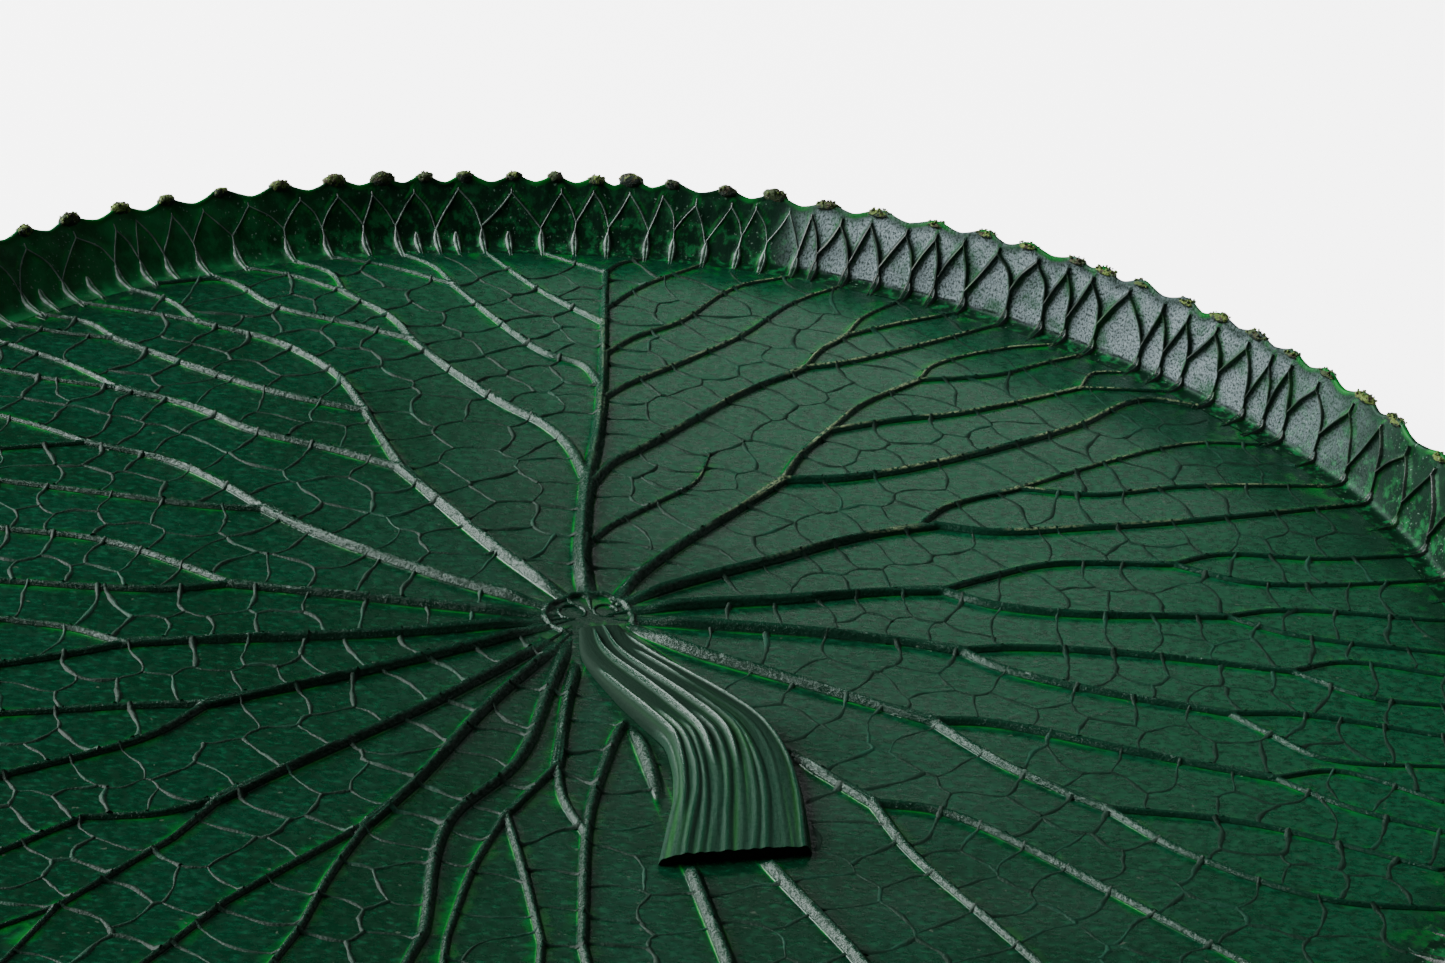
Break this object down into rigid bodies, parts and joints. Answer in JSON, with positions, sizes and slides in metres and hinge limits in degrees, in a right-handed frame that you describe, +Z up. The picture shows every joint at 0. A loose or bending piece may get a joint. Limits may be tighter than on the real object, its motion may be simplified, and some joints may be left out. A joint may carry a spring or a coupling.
{
  "type": "water lily pad",
  "caption": "Round tray-shaped water lily pad with forking ribs, a low upturned rim with a lattice and nubs, and its flattened fluted stalk, cut straight across and lying on the face.",
  "frame": {"origin": "on the flat underside, straight below the knot where the ribs meet", "axes": "+Z up out of the face, square to the floor of the leaf; +Y towards the tip of the straight middle rib; +X to the right of it, seen from above"},
  "size_m": [0.8432, 0.8478, 0.0486],
  "materials": {
    "leaf_skin": "dark green leathery skin with a satin sheen, rough along the rib crests",
    "stalk_skin": "dark green fluted skin with a satin sheen"
  },
  "bodies": {
    "root": {"leaf_pad": "leaf_skin", "stalk": "stalk_skin"}
  },
  "joints": []
}
